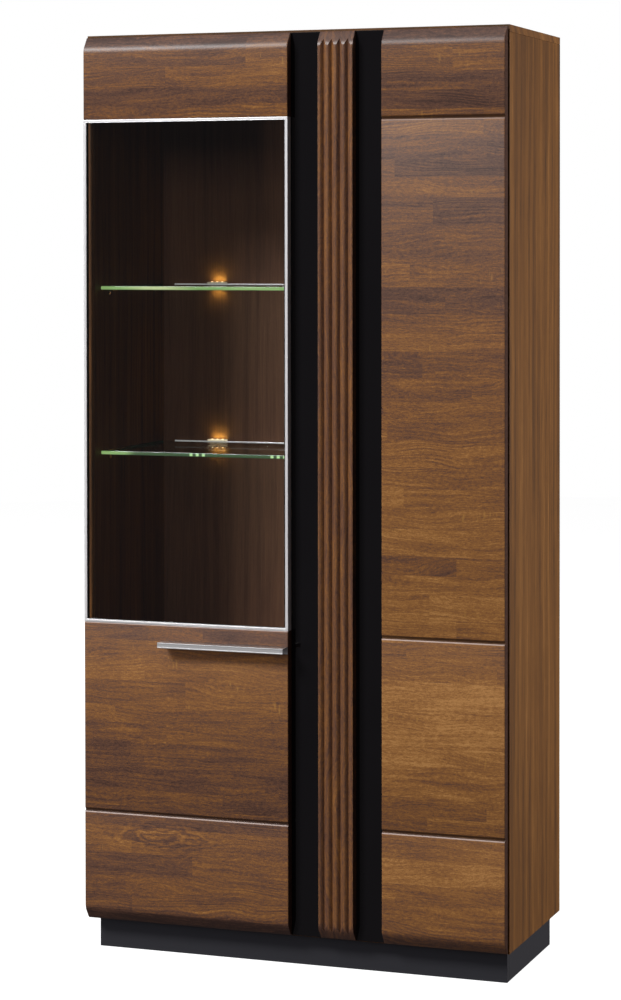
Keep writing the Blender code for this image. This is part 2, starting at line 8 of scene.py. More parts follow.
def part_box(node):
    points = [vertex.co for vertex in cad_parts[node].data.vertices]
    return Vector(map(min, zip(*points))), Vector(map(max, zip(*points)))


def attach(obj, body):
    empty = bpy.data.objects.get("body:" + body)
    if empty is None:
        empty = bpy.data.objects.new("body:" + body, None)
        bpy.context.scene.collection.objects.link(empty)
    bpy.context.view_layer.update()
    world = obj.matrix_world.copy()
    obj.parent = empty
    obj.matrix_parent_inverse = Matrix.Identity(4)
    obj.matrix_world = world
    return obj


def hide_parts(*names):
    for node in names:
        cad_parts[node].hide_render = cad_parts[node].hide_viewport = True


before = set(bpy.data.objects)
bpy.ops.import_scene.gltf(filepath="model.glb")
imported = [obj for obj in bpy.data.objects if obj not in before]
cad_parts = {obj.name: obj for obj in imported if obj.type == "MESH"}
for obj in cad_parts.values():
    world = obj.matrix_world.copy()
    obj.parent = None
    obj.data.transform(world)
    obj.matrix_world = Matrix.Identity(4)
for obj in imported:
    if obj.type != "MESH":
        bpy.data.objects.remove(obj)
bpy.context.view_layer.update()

# ------------------------------------------------------------------ sizes taken from the frame
left_top_low, left_top_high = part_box("left_door_top_panel")
left_bottom_low, left_bottom_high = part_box("left_door_bottom_panel")
right_low, right_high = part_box("right_door_panel")
column_low, column_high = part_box("fluted_column")
handle_low, handle_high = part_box("door_handle")
clip_low, clip_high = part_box("light_clip_lower")

FIT = 0.0003
HAIR = 0.0001
CARCASS_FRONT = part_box("top_board")[0].y
BACK_PANEL_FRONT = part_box("back_panel")[0].y
DOOR_FACE = right_low.y
DOOR_BACK = right_high.y
PANE_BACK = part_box("glass_pane")[1].y
PEG_WALLS = {
    "left": (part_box("side_panel_left")[1].x + HAIR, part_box("divider_left")[0].x - HAIR),
    "right": (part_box("divider_right")[1].x + HAIR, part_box("side_panel_right")[0].x - HAIR),
}
PEG_RADIUS = 0.0025

END_RADIUS = 0.030
END_ANGLE = math.radians(35)
END_SLOPE = 0.022
GROOVE_HEIGHTS = (1.8100, 0.7208, 0.3122)
GROOVE_HALF_WIDTH = 0.004
GROOVE_DEPTH = 0.0038
EDGE_ROUND = 0.0022
STAVE_HEIGHT = 0.046
STAVE_LENGTH = 0.46
RIGHT_DOOR_FROM = 0.1
# Heights over which the rolled ends of the fronts and column get painted shade.
ROLLED_TOP = (right_high.z - 0.033, right_high.z - 0.019)
ROLLED_BOTTOM = (right_low.z + 0.038, right_low.z + 0.018)
LAMP_X = (clip_low.x + clip_high.x) / 2
# Where painted glints of the lamp's lenses sit on the lower shelf's front edge.
LOWER_EDGE_GLINTS = (-0.2480, -0.2335, -0.2190, -0.0600, -0.0455, -0.0310)


# ------------------------------------------------------------------ shader expressions
class Wire:
    """An output socket that takes part in plain arithmetic."""

    def __init__(self, shading, socket):
        self.shading = shading
        self.socket = socket

    def maths(self, operation, first, second=None, clamp=False):
        values = {0: first}
        if second is not None:
            values[1] = second
        return self.shading.add(
            "ShaderNodeMath", {"operation": operation, "use_clamp": clamp}, values
        )

    def __add__(self, other):
        return self.maths("ADD", self, other)

    def __radd__(self, other):
        return self.maths("ADD", other, self)

    def __sub__(self, other):
        return self.maths("SUBTRACT", self, other)

    def __rsub__(self, other):
        return self.maths("SUBTRACT", other, self)

    def __mul__(self, other):
        return self.maths("MULTIPLY", self, other)

    def __rmul__(self, other):
        return self.maths("MULTIPLY", other, self)

    def __truediv__(self, other):
        return self.maths("DIVIDE", self, other)

    def __pow__(self, other):
        return self.maths("POWER", self, other)

    def floor(self):
        return self.maths("FLOOR", self)

    def fraction(self):
        return self.maths("FRACT", self)

    def absolute(self):
        return self.maths("ABSOLUTE", self)

    def sine(self):
        return self.maths("SINE", self)

    def root(self):
        return self.maths("SQRT", self)

    def above(self, limit):
        return self.maths("GREATER_THAN", self, limit)

    def clamped(self):
        return self.maths("ADD", self, 0.0, clamp=True)


class Shading:
    """A node tree and the one way its nodes are added."""

    def __init__(self, owner):
        owner.use_nodes = True
        self.tree = owner.node_tree

    def add(self, kind, settings=None, values=None, output=0):
        """Adds a node: first its settings, or a ramp's stops, then its sockets' values or links."""
        node = self.tree.nodes.new(kind)
        for key, value in (settings or {}).items():
            if key == "stops":
                self.place_stops(node.color_ramp.elements, value)
            else:
                setattr(node, key, value)
        for key, value in (values or {}).items():
            self.put(node.inputs[key], value)
        return Wire(self, node.outputs[output])

    def place_stops(self, points, stops):
        while len(points) < len(stops):
            points.new(0.5)
        for point, (place, colour) in zip(points, stops):
            point.position = place
            point.color = (*colour, 1.0)

    def put(self, socket, value):
        if isinstance(value, Wire):
            self.tree.links.new(value.socket, socket)
        elif socket.type == "RGBA":
            socket.default_value = (*value, 1.0)
        else:
            socket.default_value = value

    def surface(self, shader):
        """Makes a shader what the whole tree shows."""
        node = next(node for node in self.tree.nodes if node.type.startswith("OUTPUT"))
        self.put(node.inputs["Surface"], shader)

    def mix(self, factor, first, second):
        return self.add(
            "ShaderNodeMix", {"data_type": "RGBA"}, {0: factor, 6: first, 7: second}, output=2
        )


class Finish(Shading):
    """A material of the cabinet, on the three Object coordinates in metres."""

    def __init__(self, name):
        self.material = bpy.data.materials.new(name)
        super().__init__(self.material)
        self.shader = self.tree.nodes["Principled BSDF"]

    def set(self, **values):
        for key, value in values.items():
            self.put(self.shader.inputs[key.replace("_", " ")], value)

    def place(self):
        coordinates = self.add("ShaderNodeTexCoord", output="Object")
        parts = self.add("ShaderNodeSeparateXYZ", values={0: coordinates})
        return [Wire(self, parts.socket.node.outputs[axis]) for axis in "XYZ"]

    def vector(self, x, y, z):
        return self.add("ShaderNodeCombineXYZ", values={0: x, 1: y, 2: z})

    def noise(self, vector, scale=1.0, detail=2.0, roughness=0.5, distortion=0.0):
        return self.add(
            "ShaderNodeTexNoise",
            {"noise_dimensions": "3D"},
            {
                "Vector": vector,
                "Scale": scale,
                "Detail": detail,
                "Roughness": roughness,
                "Distortion": distortion,
            },
        )

    def random(self, vector):
        return self.add("ShaderNodeTexWhiteNoise", {"noise_dimensions": "3D"}, {"Vector": vector})

    def spread(self, value, low, high):
        """Maps low..high onto 0..1, smoothly."""
        return self.add(
            "ShaderNodeMapRange",
            {"interpolation_type": "SMOOTHSTEP"},
            {"Value": value, "From Min": low, "From Max": high},
        )

    def ramp(self, value, stops):
        return self.add("ShaderNodeValToRGB", {"stops": stops}, {0: value})

    def bump(self, height, distance, strength):
        return self.add(
            "ShaderNodeBump",
            None,
            {"Height": height, "Distance": distance, "Strength": strength},
        )


# ------------------------------------------------------------------ finishes
OAK_SHADES = (
    (0.00, (0.042, 0.021, 0.016)),
    (0.28, (0.090, 0.043, 0.028)),
    (0.50, (0.152, 0.065, 0.025)),
    (0.72, (0.230, 0.100, 0.029)),
    (1.00, (0.370, 0.182, 0.060)),
)
SIDE_SHADES = (
    (0.00, (0.050, 0.023, 0.008)),
    (0.30, (0.103, 0.042, 0.011)),
    (0.55, (0.152, 0.061, 0.014)),
    (0.80, (0.198, 0.083, 0.019)),
    (1.00, (0.260, 0.114, 0.030)),
)
# Painted shade: a darker copy of the carcass decor, for the dividers inside the cabinet.
SHADED_INNER_TONES = (
    (0.00, (0.022, 0.012, 0.009)),
    (0.30, (0.045, 0.023, 0.016)),
    (0.60, (0.072, 0.038, 0.025)),
    (1.00, (0.120, 0.064, 0.040)),
)
BACK_SHADES = (
    (0.00, (0.060, 0.028, 0.014)),
    (0.30, (0.117, 0.055, 0.028)),
    (0.60, (0.178, 0.085, 0.044)),
    (1.00, (0.260, 0.127, 0.066)),
)
EYE_CENTRE = (-0.292, 0.262)
EYE_SPREAD = (0.064, 0.0155)
EYE_RINGS = 1.4
# Strength of the painted highlight under each groove, from the top groove down.
LIP_HIGHLIGHT = (0.35, 0.85, 0.85)


def grain_shade(wood, along, across, third, seed, figure=1.0):
    """Light and dark of stained oak, about 0.5 on average, and the height of its fibres."""
    u = along + seed * 5.3
    v = across + seed * 2.7
    clouds = wood.noise(wood.vector(u * 8.0, v * 30.0, third + seed * 9.0), 1.0, 4.0, 0.62)
    flow = wood.noise(wood.vector(u * 3.2, v * 9.0, third + seed * 4.0), 1.0, 2.0)
    bent = v + flow * 0.08
    lines = (bent * (2 * math.pi * 150)).sine()
    line_mask = wood.spread(
        wood.noise(wood.vector(u * 2.6, v * 14.0, third + 20.0), 1.0, 2.0), 0.48, 0.66
    )
    streaks = wood.noise(wood.vector(u * 6.0, bent * 180.0, third), 1.0, 3.0, 0.62)
    dashes = wood.noise(wood.vector(u * 105.0, bent * 430.0, third * 3.0), 1.0, 2.0, 0.65)
    specks = wood.noise(wood.vector(u * 300.0, v * 640.0, third * 5.0), 1.0, 1.0)
    shade = (
        (clouds - 0.5) * (0.52 * figure)
        + (streaks - 0.5) * 0.74
        + (dashes - 0.5) * 0.80
        + (specks - 0.5) * 0.50
        + lines * line_mask * (0.085 * figure)
    )
    return shade, dashes


def painted_end_shade(wood, z, top, bottom):
    """Painted shade on the rolled top and bottom ends of a front: how much darker they are made."""
    return wood.spread(z, *ROLLED_TOP) * top + wood.spread(z, *ROLLED_BOTTOM) * bottom


def painted_front_light(wood, z, right_side):
    """Painted light: lighter towards the bottom of each front; the lower right front and the upper
    left front are lighter by set amounts.
    """
    low = wood.spread(z, 1.75, 0.45) * (0.14 + right_side * 0.16)
    bottom_right = right_side * z.above(0.34) * 0.07
    top_left = (1 - right_side) * z.above(1.80) * 0.13
    return low + bottom_right + top_left


def ray_flecks(wood, x, z, seed, tone):
    """Short pale medullary rays on some of the lighter staves."""
    flecks = wood.noise(wood.vector((x + seed) * 150.0, z * 24.0, 7.0), 1.0, 1.0)
    area = wood.noise(wood.vector(x * 10.0, z * 25.0, 3.0), 1.0, 1.0)
    fleck = wood.spread(flecks, 0.60, 0.72) * wood.spread(area, 0.56, 0.64)
    return fleck * tone.above(0.62) * 0.5


def eye_rings(wood, x, z):
    """The rings of the eye in the lower left front."""
    dx = (x - EYE_CENTRE[0]) / EYE_SPREAD[0]
    dz = (z - EYE_CENTRE[1]) / EYE_SPREAD[1]
    wobble = wood.noise(wood.vector(x * 22.0, z * 60.0, 5.0), 1.0, 2.0)
    reach = (dx * dx + dz * dz).root() + (wobble - 0.5) * 2.2
    return (reach * (2 * math.pi * EYE_RINGS)).sine() * wood.spread(reach, 2.9, 0.9) * 0.17


def groove_light_and_shade(wood, y, z, right_side):
    """Painted highlight on the lip under each groove and painted shade in the groove, on the face
    of the fronts only.
    """
    edge = left_bottom_high.z
    # Painted highlight along the top edge of the lower left front.
    left_edge_highlight = wood.spread(z, edge - 0.0024, edge - 0.0008)
    lip_highlight = left_edge_highlight * (1 - right_side) * (1 - z.above(edge + 0.001))
    groove_shade = 0.0
    for height, strength in zip(GROOVE_HEIGHTS, LIP_HIGHLIGHT):
        here = right_side if height > GROOVE_HEIGHTS[-1] else 1.0
        lip = wood.spread((z - height + 0.0049).absolute(), 0.0018, 0.0006)
        lip_highlight = lip_highlight + lip * strength * here
        groove_shade = groove_shade + wood.spread((z - height + 0.0002).absolute(), 0.0044, 0.0034) * here
    in_front = 1 - y.above(DOOR_FACE + 0.008)
    return lip_highlight.clamped() * in_front * 0.85, groove_shade.clamped() * in_front * 0.75


def front_oak():
    """The fronts: staves glued edge to edge, with the grain lying across the cabinet."""
    wood = Finish("front_oak")
    x, y, z = wood.place()
    right_side = x.above(RIGHT_DOOR_FROM)
    course = (z + (z * 37.0).sine() * 0.007) / STAVE_HEIGHT + right_side * 0.43
    row = course.floor()
    row_random = wood.random(wood.vector(row, 1.7, 0.0))
    cell = ((x + row_random * 0.9) / STAVE_LENGTH).floor()
    seed = wood.random(wood.vector(row, cell, 4.0))
    tone = row_random * 0.55 + wood.random(wood.vector(cell, row, 9.0)) * 0.45
    shade, fibres = grain_shade(wood, x, z, y * 8.0, seed)
    joint = ((course.fraction() - 0.5).absolute() - 0.485) * 20.0
    total = (
        shade
        + tone * 0.42
        + 0.08
        # Painted light, lighter towards the bottom of each front.
        + painted_front_light(wood, z, right_side)
        - joint.clamped() * 0.08
        # Painted shade: the rolled ends are made darker.
        - painted_end_shade(wood, z, 0.26, 0.20)
        + eye_rings(wood, x, z)
    )
    fleck = ray_flecks(wood, x, z, seed, tone)
    colour = wood.mix(fleck, wood.ramp(total, OAK_SHADES), (0.330, 0.165, 0.042))
    lip_highlight, groove_shade = groove_light_and_shade(wood, y, z, right_side)
    # Painted shade in the grooves.
    colour = wood.mix(groove_shade, colour, (0.022, 0.010, 0.006))
    wood.set(
        # Painted highlight on the groove lips.
        Base_Color=wood.mix(lip_highlight, colour, (0.46, 0.35, 0.31)),
        Roughness=0.33 + fibres * 0.14,
        Normal=wood.bump(fibres, 0.0004, 0.30),
        Specular_IOR_Level=0.35,
    )
    return wood.material


def column_oak():
    """The fluted column: one solid length with the grain upright."""
    wood = Finish("column_oak")
    x, y, z = wood.place()
    shade, fibres = grain_shade(wood, z, x, y * 8.0, 0.31, 0.7)
    # Painted shade on the rolled ends of the column.
    rolled = painted_end_shade(wood, z, 0.16, 0.20)
    wood.set(
        Base_Color=wood.ramp(shade + 0.40 - rolled, OAK_SHADES),
        Roughness=0.27 + fibres * 0.14,
        Normal=wood.bump(fibres, 0.0004, 0.25),
        Specular_IOR_Level=0.35,
    )
    return wood.material


def edge_oak():
    """Dark stained upright edges of the wooden fronts."""
    wood = Finish("edge_oak")
    x, y, z = wood.place()
    shade, fibres = grain_shade(wood, y, z, x * 8.0, 0.77, 0.6)
    wood.set(
        Base_Color=wood.ramp(shade * 0.5 + 0.10, OAK_SHADES),
        Roughness=0.65 + fibres * 0.15,
        Normal=wood.bump(fibres, 0.0004, 0.2),
        Specular_IOR_Level=0.08,
    )
    return wood.material


def decor_board(
    name, upright, shades, seed, gloss=0.44, edge_dark=0.0, contrast=1.0, raw_rear=0.0
):
    """Decor board of the carcass: quiet straight grain, upright or lying."""
    wood = Finish(name)
    x, y, z = wood.place()
    along, across = (z, x + y) if upright else (x, y + z)
    u, v = along + seed * 3.0, across + seed
    sway = wood.noise(wood.vector(u * 1.4, v * 5.0, 2.0), 1.0, 2.0)
    bent = v + sway * 0.035
    bands = wood.noise(wood.vector(u * 0.7, bent * 34.0, 0.0), 1.0, 3.0, 0.6)
    fibres = wood.noise(wood.vector(u * 9.0, bent * 300.0, 0.0), 1.0, 3.0, 0.65)
    pores = wood.noise(wood.vector(u * 60.0, bent * 800.0, 4.0), 1.0, 2.0, 0.6)
    cathedral = (bent * (2 * math.pi * 60)).sine() * wood.spread(sway, 0.50, 0.70) * 0.10
    figure = (bands - 0.5) * 1.7 + (fibres - 0.5) * 1.25 + (pores - 0.5) * 0.40 + cathedral
    front_edge = wood.spread(y, CARCASS_FRONT + 0.0010, CARCASS_FRONT + 0.0004)
    total = 0.55 + figure * contrast - front_edge * edge_dark
    raw = wood.spread(y, BACK_PANEL_FRONT + 0.0037, BACK_PANEL_FRONT + 0.0039) * raw_rear
    wood.set(
        Base_Color=wood.mix(raw, wood.ramp(total, shades), (0.115, 0.066, 0.036)),
        Roughness=gloss + fibres * 0.12,
        Normal=wood.bump(fibres, 0.0003, 0.25),
        Specular_IOR_Level=0.22,
    )
    return wood.material


def black_gloss():
    """High-gloss black of the centre panel."""
    gloss = Finish("black_gloss")
    x, y, z = gloss.place()
    haze = gloss.noise(gloss.vector(x * 6.0, y, z * 3.0), 1.0, 2.0)
    gloss.set(
        Base_Color=gloss.mix(haze, (0.0022, 0.0019, 0.0024), (0.0042, 0.0038, 0.0044)),
        Roughness=0.06 + haze * 0.05,
    )
    return gloss.material


def black_laminate():
    """Fine-grained black laminate of the plinth."""
    laminate = Finish("black_laminate")
    x, y, z = laminate.place()
    grain = laminate.noise(laminate.vector(x, y, z), 900.0, 2.0)
    laminate.set(
        Base_Color=laminate.mix(grain, (0.017, 0.017, 0.021), (0.025, 0.025, 0.030)),
        Roughness=0.40 + grain * 0.15,
        Normal=laminate.bump(grain, 0.0002, 0.2),
    )
    return laminate.material


def brushed_aluminium(name, rough=0.30, glow=0.0, shine=1.0, metallic=1.0, along="X"):
    """Satin aluminium, brushed along X or Z."""
    metal = Finish(name)
    x, y, z = metal.place()
    fine, coarse = 5.0, 1100.0
    scales = (fine, coarse, coarse) if along == "X" else (coarse, coarse, fine)
    brush = metal.noise(
        metal.vector(x * scales[0], y * scales[1], z * scales[2]), 1.0, 2.0, 0.6
    )
    dark, light = (
        tuple(channel * shine for channel in shade)
        for shade in ((0.50, 0.49, 0.50), (0.78, 0.77, 0.77))
    )
    metal.set(
        Base_Color=metal.mix(brush, dark, light),
        Roughness=rough + brush * 0.16,
        Normal=metal.bump(brush, 0.0002, 0.25),
        Metallic=metallic,
        # glow is painted light; only the shelf back rails use it.
        Emission_Color=(1.0, 0.98, 0.95),
        Emission_Strength=glow,
    )
    return metal.material


HEAD_ON_SHARE = 0.034


def clear_glass(name, tint, share, roughness=0.02):
    """Thin glass: see-through from both sides, and more of a mirror towards grazing."""
    glass = Finish(name)
    glass.tree.nodes.remove(glass.shader)
    through = glass.add("ShaderNodeBsdfTransparent", None, {"Color": tint})
    gloss = glass.add(
        "ShaderNodeBsdfAnisotropic",
        {"distribution": "GGX"},
        {"Color": (0.95, 0.98, 0.97), "Roughness": roughness},
    )
    facing = glass.add("ShaderNodeLayerWeight", None, {"Blend": 0.5}, output="Facing")
    mirrored = facing**5 * (1 - HEAD_ON_SHARE) + HEAD_ON_SHARE
    glass.surface(
        glass.add("ShaderNodeMixShader", None, {0: mirrored * share, 1: through, 2: gloss})
    )
    return glass.material


def painted_edge_glow(level, bright_to, dim, glints):
    """Polished front edge of a glass shelf: the clip lamp's light that comes out of it is painted
    on as a glow, with painted glints of the lamp's lenses.
    """
    glass = Finish(f"{level}_painted_edge_glow")
    x, y, z = glass.place()
    low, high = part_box(f"glass_shelf_{level}")
    waves = glass.noise(glass.vector(x * 16.0, y * 18.0, z * 260.0), 1.0, 2.0)
    core = glass.spread((z - (low.z + high.z) / 2).absolute(), 0.0040, 0.0012)
    bright = dim + glass.spread(x, bright_to + 0.04, bright_to) * (1.0 - dim)
    strength = bright * (0.45 + core * 0.55) * (0.75 + waves * 0.60)
    green = glass.mix(waves, (0.130, 0.310, 0.060), (0.420, 0.600, 0.250))
    # Painted warm light on the edge near the lamp.
    near_lamp = glass.spread((x - LAMP_X).absolute(), 0.10, 0.01) * (0.55 * dim)
    warm = glass.mix(near_lamp, green, (0.78, 0.80, 0.42))
    glow = glass.mix(strength, (0.004, 0.010, 0.008), warm)
    # Painted glints of the lamp's lenses.
    for place in glints:
        glint = glass.spread((x - place).absolute(), 0.0048, 0.0015) * core
        glow = glass.mix(glint, glow, (0.62, 0.95, 0.42))
    glass.set(
        Base_Color=(0.02, 0.05, 0.03),
        Roughness=0.08 + waves * 0.05,
        Emission_Color=glow,
        Emission_Strength=1.25,
    )
    return glass.material


def polished_edge():
    """Ends of the glass shelves, deep green as thick float glass is."""
    glass = Finish("polished_glass_edge")
    x, y, z = glass.place()
    waves = glass.noise(glass.vector(x * 30.0, y * 16.0, z * 260.0), 1.0, 2.0)
    glass.set(
        Base_Color=glass.mix(waves, (0.010, 0.055, 0.030), (0.030, 0.120, 0.060)),
        Roughness=0.08 + waves * 0.06,
    )
    return glass.material


def plain(name, colour, roughness, metallic=0.0, speckle=0.12):
    """Moulded or plated small parts, with a little life in the surface."""
    made = Finish(name)
    x, y, z = made.place()
    grain = made.noise(made.vector(x, y, z), 700.0, 2.0)
    darker = tuple(channel * (1 - speckle) for channel in colour)
    made.set(
        Base_Color=made.mix(grain, darker, colour),
        Roughness=roughness + grain * 0.08,
        Normal=made.bump(grain, 0.0001, 0.15),
        Metallic=metallic,
    )
    return made.material


def lamp_lens():
    """Warm glowing lens of a clip lamp."""
    lens = Finish("lamp_lens")
    x, y, z = lens.place()
    facets = lens.noise(lens.vector(x, y, z), 900.0, 1.0)
    lens.set(
        Base_Color=(1.0, 0.85, 0.6),
        Emission_Color=lens.mix(facets, (1.0, 0.66, 0.28), (1.0, 0.85, 0.55)),
        Emission_Strength=3.0,
        Roughness=0.25 + facets * 0.1,
    )
    return lens.material


def clip_housing(level, glow):
    """Clear plastic of a clip lamp: lit along its top and dusky where it grips the glass."""
    clip = Finish(f"{level}_clip_housing")
    x, y, z = clip.place()
    low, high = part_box(f"light_clip_{level}")
    grain = clip.noise(clip.vector(x, y, z), 260.0, 2.0)
    lit = clip.spread(z, high.z - 0.0040, high.z - 0.0028)
    spots = clip.spread(clip.noise(clip.vector(x * 300.0, 0.0, z * 200.0), 1.0, 1.0), 0.42, 0.56)
    body = clip.mix(spots, (0.045, 0.026, 0.014), (0.300, 0.210, 0.120))
    clip.set(
        Base_Color=clip.mix(lit, (0.060, 0.040, 0.026), (0.60, 0.55, 0.42)),
        Roughness=0.25 + grain * 0.15,
        Emission_Color=clip.mix(lit, body, (1.0, 0.88, 0.58)),
        Emission_Strength=glow,
    )
    return clip.material


finishes = {
    "front": front_oak(),
    "edge": edge_oak(),
    "column": column_oak(),
    "upright": decor_board("side_board", True, SIDE_SHADES, 0.0, edge_dark=0.35, contrast=1.2),
    # Dividers: the carcass decor darkened as painted shade.
    "inner": decor_board("inner_board", True, SHADED_INNER_TONES, 0.35),
    "back": decor_board("back_board", True, BACK_SHADES, 0.62, 0.55, contrast=0.6, raw_rear=0.9),
    "lying": decor_board("lying_board", False, SIDE_SHADES, 0.6, 0.55, 0.40),
    "gloss": black_gloss(),
    "laminate": black_laminate(),
    "frame rail": brushed_aluminium("aluminium_lying", shine=1.10, metallic=0.45),
    "frame stile": brushed_aluminium("aluminium_upright", shine=1.15, metallic=0.40, along="Z"),
    "handle": brushed_aluminium("handle_aluminium", 0.34, shine=0.80, metallic=0.55),
    "handle top": brushed_aluminium("handle_top", 0.10, shine=0.80),
    # Painted light: the shelf back rails glow though they are no lamp.
    "rail painted glow": brushed_aluminium("rail_painted_glow", glow=0.35),
    "pane": clear_glass("pane_glass", (0.86, 0.86, 0.87), 1.0),
    "shelf face": clear_glass("shelf_face_glass", (0.95, 0.98, 0.96), 0.10),
    # Shelf front edges: glass that is no lamp, with its light painted on as a glow.
    "lower edge": painted_edge_glow("lower", -0.415, 0.16, LOWER_EDGE_GLINTS),
    "upper edge": painted_edge_glow("upper", 0.5, 1.0, ()),
    "glass end": polished_edge(),
    "nickel": plain("nickelled_steel", (0.66, 0.64, 0.61), 0.22, 1.0),
    "grey": plain("grey_plastic", (0.25, 0.25, 0.26), 0.45),
    "white": plain("pale_plastic", (0.78, 0.77, 0.74), 0.4),
    "lower clip": clip_housing("lower", 0.85),
    "upper clip": clip_housing("upper", 0.25),
    "rubber": plain("black_rubber", (0.012, 0.012, 0.012), 0.7),
    "bumper": plain("clear_bumper", (0.55, 0.56, 0.55), 0.2),
    "lens": lamp_lens(),
}


# ------------------------------------------------------------------ piece helpers
def closed_object(name, bm, materials=()):
    """Turns a bmesh into an object at the origin."""
    mesh = bpy.data.meshes.new(name)
    bm.to_mesh(mesh)
    bm.free()
    for finish in materials:
        mesh.materials.append(finish)
    made = bpy.data.objects.new(name, mesh)
    bpy.context.scene.collection.objects.link(made)
    return made


def smooth_below(mesh, degrees):
    mesh.shade_smooth()
    mesh.set_sharp_from_angle(angle=math.radians(degrees))


def piece(name, bm, looks, body="root", replaced=(), smooth_angle=None):
    """Closes a bmesh into a piece with its finishes and hands it to its CAD body."""
    made = closed_object(name, bm, [finishes[look] for look in looks])
    if smooth_angle is not None:
        smooth_below(made.data, smooth_angle)
    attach(made, body)
    if replaced:
        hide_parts(*replaced)
    return made


NEARLY_STRAIGHT = math.radians(172)


def eased(points, radius):
    """Rounds the corners of a closed outline."""
    rounded = []
    total = len(points)
    for index, point in enumerate(points):
        here = Vector(point)
        before = Vector(points[index - 1]) - here
        after = Vector(points[(index + 1) % total]) - here
        reach = min(radius, before.length * 0.45, after.length * 0.45)
        if reach < 0.00005 or before.angle(after) > NEARLY_STRAIGHT:
            rounded.append(tuple(here))
            continue
        start, end = here + before.normalized() * reach, here + after.normalized() * reach
        for share in (0.0, 0.33, 0.67, 1.0):
            curve = start * (1 - share) ** 2 + here * 2 * share * (1 - share) + end * share**2
            rounded.append(tuple(curve))
    return rounded


ROUNDING = {1: 0.0012, -1: 0.0034}


def rolled_end(tip, face, direction, segments=12):
    """(y, z) points of a front's top (1) or bottom (-1) end, rolled back to the carcass."""
    height = END_RADIUS * math.sin(END_ANGLE) + END_SLOPE * math.cos(END_ANGLE)
    start = tip - direction * height
    points = []
    for step in range(segments + 1):
        angle = END_ANGLE * step / segments
        depth = END_RADIUS * (1 - math.cos(angle))
        points.append((face + depth, start + direction * END_RADIUS * math.sin(angle)))
    depth = END_RADIUS * (1 - math.cos(END_ANGLE)) + END_SLOPE * math.sin(END_ANGLE)
    rounding = ROUNDING[direction]
    slope = Vector((math.sin(END_ANGLE), direction * math.cos(END_ANGLE)))
    end = Vector((face + depth, tip))
    points.append(tuple(end - slope * rounding))
    points.append((face + depth + rounding * 0.25, tip - direction * rounding * 0.15))
    points.append((face + depth + rounding, tip))
    return points


GROOVE_LIP = 0.0011
GROOVE_SKEW = 0.0012


def groove(face, height):
    """(y, z) points of a V groove with softened lips, from its lower lip up."""
    lip = GROOVE_LIP
    points = []
    for side in (-1, 1):
        half = [
            (face, height + side * (GROOVE_HALF_WIDTH + lip)),
            (face + lip * 0.22, height + side * (GROOVE_HALF_WIDTH + lip * 0.30)),
            (face + lip * 0.85, height + side * (GROOVE_HALF_WIDTH - lip * 0.45)),
        ]
        bottom = (face + GROOVE_DEPTH, height - GROOVE_SKEW)
        points += half if side < 0 else [bottom] + half[::-1]
    return points


def front_outline(low, high, rolled_low, rolled_high, grooves=()):
    """(y, z) outline of a wooden front. Returns it and how many points lie on its face."""
    face, back, lip = DOOR_FACE, DOOR_BACK, EDGE_ROUND
    points = []
    if rolled_low:
        points += rolled_end(low, face, -1)[::-1]
    else:
        points += [(face + lip, low), (face + lip * 0.3, low + lip * 0.3), (face, low + lip)]
    for height in sorted(grooves):
        points += groove(face, height)
    if rolled_high:
        points += rolled_end(high, face, 1)
    else:
        points += [(face, high - lip), (face + lip * 0.3, high - lip * 0.3), (face + lip, high)]
    count = len(points)
    return points + [(back, high), (back, low)], count


def push(bm, face, step):
    """Extrudes one face by a step. Returns the new face and its corners."""
    grown = bmesh.ops.extrude_face_region(bm, geom=[face])["geom"]
    verts = [item for item in grown if isinstance(item, bmesh.types.BMVert)]
    bmesh.ops.translate(bm, vec=step, verts=verts)
    return next(item for item in grown if isinstance(item, bmesh.types.BMFace)), verts


def swept_front(outline, face_count, left, right, steps=4):
    """Extrudes a front's outline from left to right, its upright edges rounded to the back."""
    rounding = []
    for step in range(steps + 1):
        angle = math.pi / 2 * step / steps
        rounding.append((EDGE_ROUND * (1 - math.cos(angle)), EDGE_ROUND * (1 - math.sin(angle))))
    stations = [(left + along, setback) for along, setback in rounding]
    stations += [(right - along, setback) for along, setback in reversed(rounding)]
    bm = bmesh.new()
    x, setback = stations[0]
    ring = []
    for index, (y, z) in enumerate(outline):
        shift = setback if index < face_count else 0.0
        ring.append(bm.verts.new((x, min(y + shift, DOOR_BACK - FIT), z)))
    face = bm.faces.new(ring)
    for next_x, next_setback in stations[1:]:
        face, verts = push(bm, face, (next_x - x, 0, 0))
        front = [vert for vert in verts if vert.co.y < outline[-1][0] - 0.0005]
        bmesh.ops.translate(bm, vec=(0, next_setback - setback, 0), verts=front)
        x, setback = next_x, next_setback
    bmesh.ops.recalc_face_normals(bm, faces=bm.faces)
    for side in bm.faces:
        side.material_index = int(abs(side.normal.x) > 0.75)
    return bm


def extruded(outline, axis, start, end):
    """Extrudes a flat outline along X or Z."""
    order = {"X": (2, 0, 1), "Z": (0, 1, 2)}[axis]
    bm = bmesh.new()
    ring = []
    for first, second in outline:
        values = (first, second, start)
        ring.append(bm.verts.new([values[index] for index in order]))
    direction = Vector([float(axis == name) for name in "XYZ"])
    push(bm, bm.faces.new(ring), direction * (end - start))
    bmesh.ops.recalc_face_normals(bm, faces=bm.faces)
    return bm


def block(bm, low, high, ease):
    """Adds a box with eased edges to a bmesh."""
    low, high = Vector(low), Vector(high)
    made = bmesh.ops.create_cube(bm, size=1.0)["verts"]
    bmesh.ops.scale(bm, vec=high - low, verts=made)
    bmesh.ops.translate(bm, vec=(low + high) / 2, verts=made)
    edges = list(dict.fromkeys(edge for vert in made for edge in vert.link_edges))
    bmesh.ops.bevel(
        bm, geom=edges, offset=ease, affect="EDGES", segments=2, profile=0.5, material=-1
    )
    return bm


